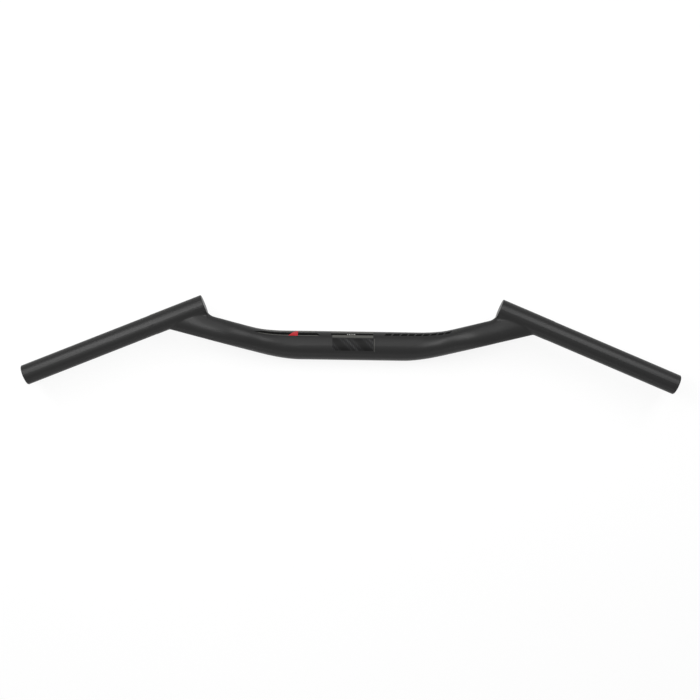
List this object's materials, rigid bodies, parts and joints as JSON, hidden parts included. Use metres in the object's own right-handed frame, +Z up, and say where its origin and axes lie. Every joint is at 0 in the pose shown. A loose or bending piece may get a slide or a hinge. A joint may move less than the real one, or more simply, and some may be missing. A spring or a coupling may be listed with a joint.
{
  "type": "mountain bike handlebar",
  "caption": "One-piece hollow riser handlebar with forward-swept oval arms, back-swept grip tubes crossing the arm ends, short closed stubs and a round stem seat.",
  "frame": {"origin": "on the stem seat's axis, halfway between its ends", "axes": "+X along the stem seat towards the rider's right, +Y forward, +Z up with the grip tubes level"},
  "size_m": [0.7194, 0.1002, 0.0526],
  "materials": {
    "bar_laminate": "matte black lacquer over moulded carbon fibre laminate"
  },
  "bodies": {
    "root": {"handlebar": "bar_laminate"}
  },
  "joints": []
}
